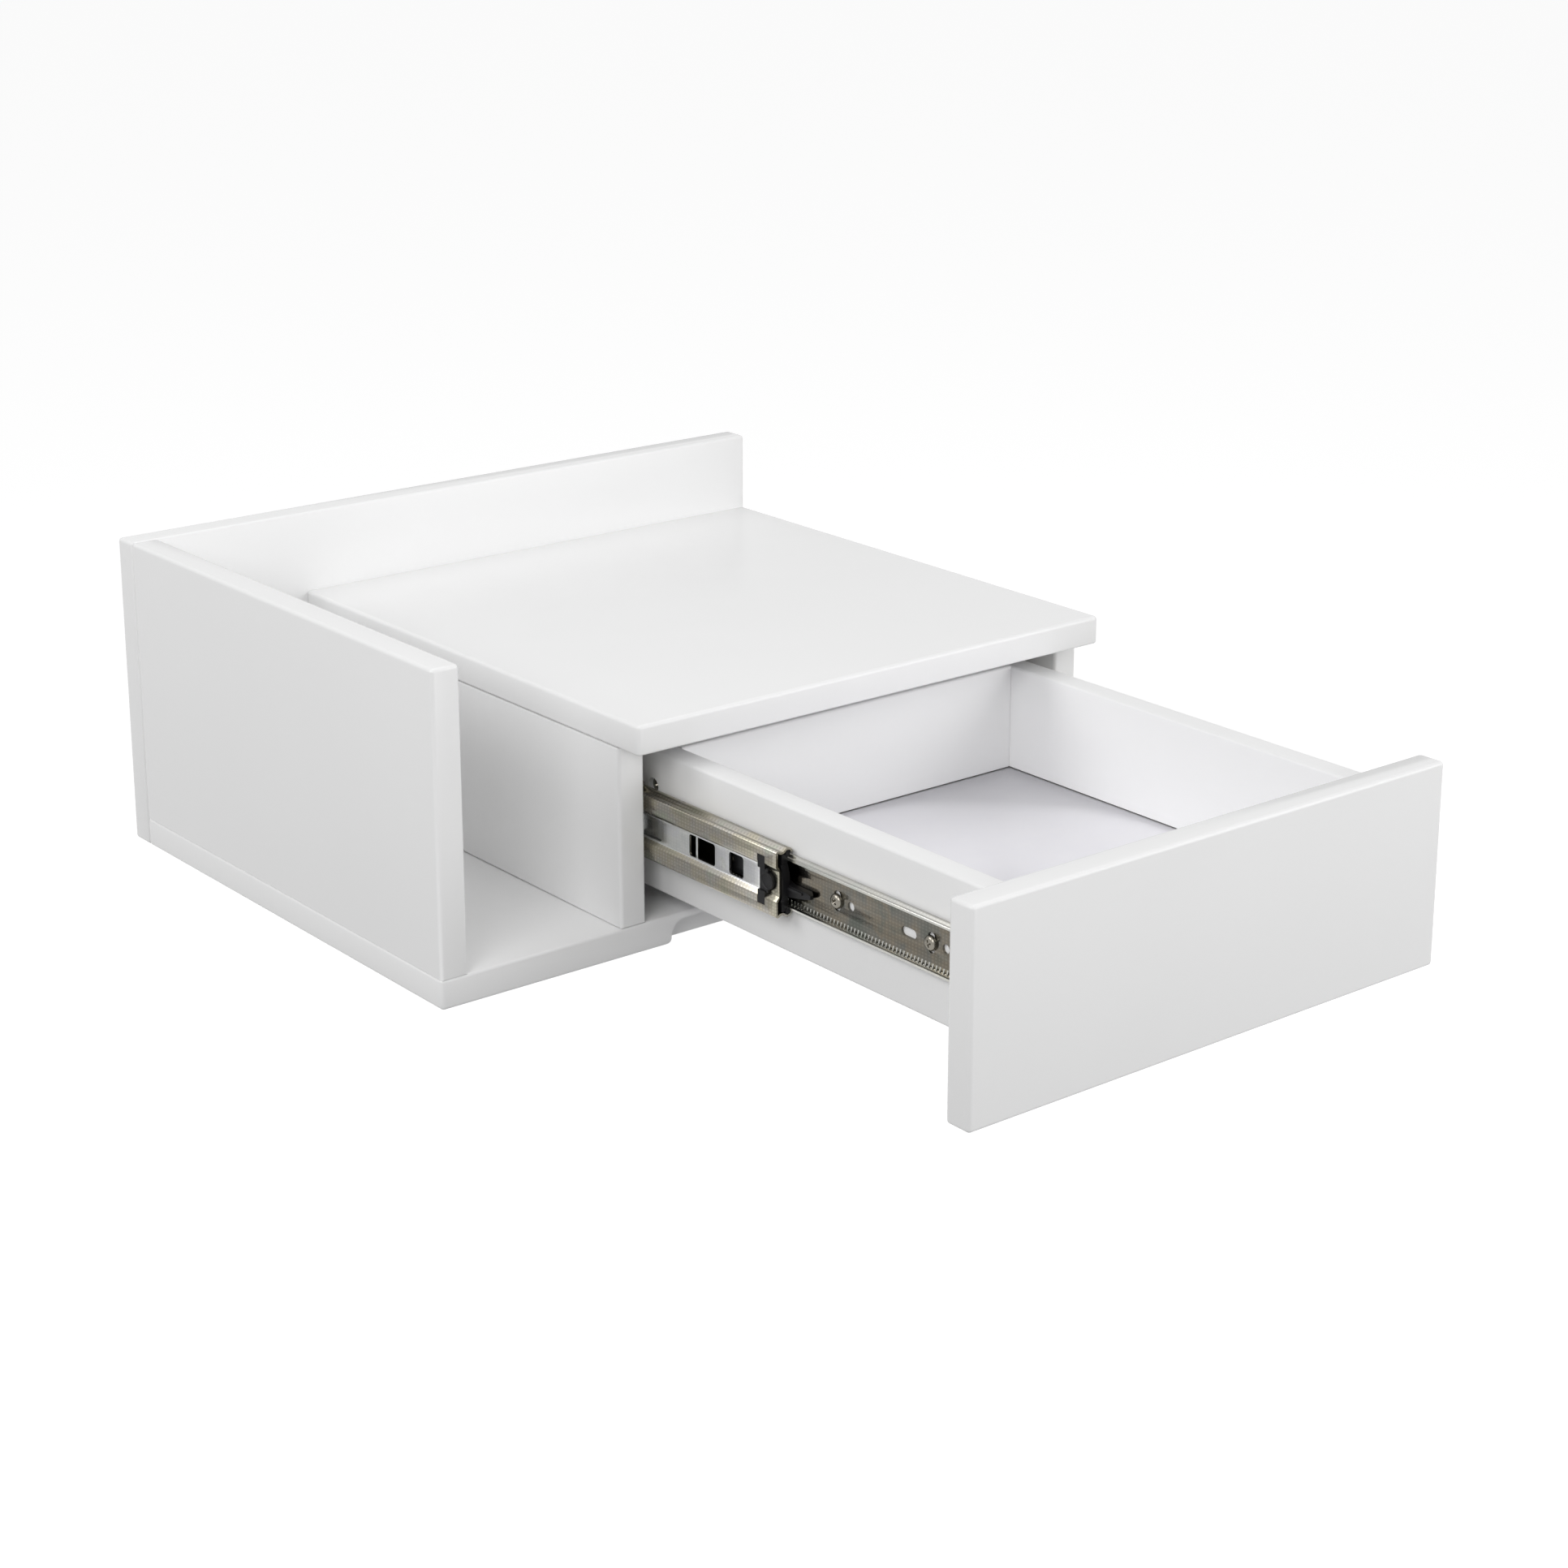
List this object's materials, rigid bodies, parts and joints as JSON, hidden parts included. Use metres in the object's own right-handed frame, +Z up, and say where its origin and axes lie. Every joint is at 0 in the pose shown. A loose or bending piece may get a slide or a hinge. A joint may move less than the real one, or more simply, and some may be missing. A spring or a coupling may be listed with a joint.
{
  "type": "floating nightstand",
  "caption": "Wall-hung bedside box with a raised back and side, an open magazine slot, and a drawer on ball-bearing runners.",
  "frame": {"origin": "centre of the back panel's wall face", "axes": "+X to the right as seen from the front, +Y into the wall, +Z up; the drawer slides out along -Y"},
  "size_m": [0.4, 0.549, 0.165],
  "materials": {
    "white_lacquer": "smooth satin white lacquer on fibreboard, edges eased and sealed",
    "drawer_lacquer": "thin matt white lacquer on the drawer's boards",
    "drawer_floor_sheet": "glossy white-coated hardboard sheet",
    "zinc_plated_steel": "rolled steel strip, zinc plated, with a fine knurl on its flats and a faint yellow-green tint",
    "nickel_plated_steel": "plated steel screws",
    "black_plastic": "moulded black polyamide",
    "beech_dowel": "bare fluted beech, hidden in the joints"
  },
  "bodies": {
    "cabinet": {"back_panel": "white_lacquer", "left_side_panel": "white_lacquer", "bottom_panel": "white_lacquer", "divider_panel": "white_lacquer", "right_side_panel": "white_lacquer", "top_panel": "white_lacquer", "left_hanger_plate": "zinc_plated_steel", "right_hanger_plate": "zinc_plated_steel", "left_cabinet_rail": "zinc_plated_steel", "right_cabinet_rail": "zinc_plated_steel", "left_cabinet_rail_screw_1": "nickel_plated_steel", "left_cabinet_rail_screw_2": "nickel_plated_steel", "right_cabinet_rail_screw_1": "nickel_plated_steel", "right_cabinet_rail_screw_2": "nickel_plated_steel", "left_side_base_screw_1": "nickel_plated_steel", "left_side_base_screw_2": "nickel_plated_steel", "left_side_back_screw": "nickel_plated_steel", "divider_base_screw_1": "nickel_plated_steel", "divider_base_screw_2": "nickel_plated_steel", "divider_back_screw": "nickel_plated_steel", "right_side_base_screw_1": "nickel_plated_steel", "right_side_base_screw_2": "nickel_plated_steel", "right_side_back_screw": "nickel_plated_steel", "left_hanger_screw_upper": "nickel_plated_steel", "left_hanger_screw_lower": "nickel_plated_steel", "right_hanger_screw_upper": "nickel_plated_steel", "right_hanger_screw_lower": "nickel_plated_steel", "divider_top_dowel_1": "beech_dowel", "divider_top_dowel_2": "beech_dowel", "right_side_top_dowel_1": "beech_dowel", "right_side_top_dowel_2": "beech_dowel"},
    "drawer": {"drawer_front": "white_lacquer", "drawer_left_side": "drawer_lacquer", "drawer_right_side": "drawer_lacquer", "drawer_back": "drawer_lacquer", "drawer_bottom": "drawer_floor_sheet", "left_drawer_rail": "zinc_plated_steel", "right_drawer_rail": "zinc_plated_steel", "left_drawer_rail_screw_1": "nickel_plated_steel", "left_drawer_rail_screw_2": "nickel_plated_steel", "right_drawer_rail_screw_1": "nickel_plated_steel", "right_drawer_rail_screw_2": "nickel_plated_steel", "left_drawer_back_screw_upper": "nickel_plated_steel", "left_drawer_back_screw_lower": "nickel_plated_steel", "right_drawer_back_screw_upper": "nickel_plated_steel", "right_drawer_back_screw_lower": "nickel_plated_steel", "left_front_dowel_lower": "beech_dowel", "left_front_dowel_upper": "beech_dowel", "right_front_dowel_lower": "beech_dowel", "right_front_dowel_upper": "beech_dowel"},
    "left_middle_rail": {"left_middle_rail": "zinc_plated_steel", "left_middle_rail_stop": "black_plastic"},
    "right_middle_rail": {"right_middle_rail": "zinc_plated_steel", "right_middle_rail_stop": "black_plastic"},
    "left_outer_cage": {"left_outer_ball_cage": "zinc_plated_steel"},
    "right_outer_cage": {"right_outer_ball_cage": "zinc_plated_steel"},
    "left_inner_cage": {"left_inner_ball_cage": "zinc_plated_steel"},
    "right_inner_cage": {"right_inner_ball_cage": "zinc_plated_steel"},
    "left_release_lever": {"left_release_lever": "black_plastic"},
    "right_release_lever": {"right_release_lever": "black_plastic"}
  },
  "joints": [
    {"name": "drawer_slide", "type": "slide", "parent": "cabinet", "child": "drawer", "axis": [0, -1, 0], "range_m": [-0.233, 0.017]},
    {"name": "left_middle_rail_slide", "type": "slide", "parent": "cabinet", "child": "left_middle_rail", "axis": [0, -1, 0], "range_m": [-0.1165, 0.0085]},
    {"name": "right_middle_rail_slide", "type": "slide", "parent": "cabinet", "child": "right_middle_rail", "axis": [0, -1, 0], "range_m": [-0.1165, 0.0085]},
    {"name": "left_outer_cage_slide", "type": "slide", "parent": "cabinet", "child": "left_outer_cage", "axis": [0, -1, 0], "range_m": [-0.05825, 0.00425]},
    {"name": "right_outer_cage_slide", "type": "slide", "parent": "cabinet", "child": "right_outer_cage", "axis": [0, -1, 0], "range_m": [-0.05825, 0.00425]},
    {"name": "left_inner_cage_slide", "type": "slide", "parent": "cabinet", "child": "left_inner_cage", "axis": [0, -1, 0], "range_m": [-0.17475, 0.01275]},
    {"name": "right_inner_cage_slide", "type": "slide", "parent": "cabinet", "child": "right_inner_cage", "axis": [0, -1, 0], "range_m": [-0.17475, 0.01275]},
    {"name": "left_release_lever_pivot", "type": "hinge", "parent": "drawer", "child": "left_release_lever", "pos_m": [-0.0728, -0.356, -0.02], "axis": [1, 0, 0], "range_deg": [-4, 4], "stiffness_Nm_per_rad": 0.05},
    {"name": "right_release_lever_pivot", "type": "hinge", "parent": "drawer", "child": "right_release_lever", "pos_m": [0.1748, -0.356, -0.02], "axis": [1, 0, 0], "range_deg": [-4, 4], "stiffness_Nm_per_rad": 0.05}
  ],
  "couplings": [
    {"joint": "left_middle_rail_slide", "follows": "drawer_slide", "ratio": 0.5},
    {"joint": "right_middle_rail_slide", "follows": "drawer_slide", "ratio": 0.5},
    {"joint": "left_outer_cage_slide", "follows": "drawer_slide", "ratio": 0.25},
    {"joint": "right_outer_cage_slide", "follows": "drawer_slide", "ratio": 0.25},
    {"joint": "left_inner_cage_slide", "follows": "drawer_slide", "ratio": 0.75},
    {"joint": "right_inner_cage_slide", "follows": "drawer_slide", "ratio": 0.75}
  ]
}
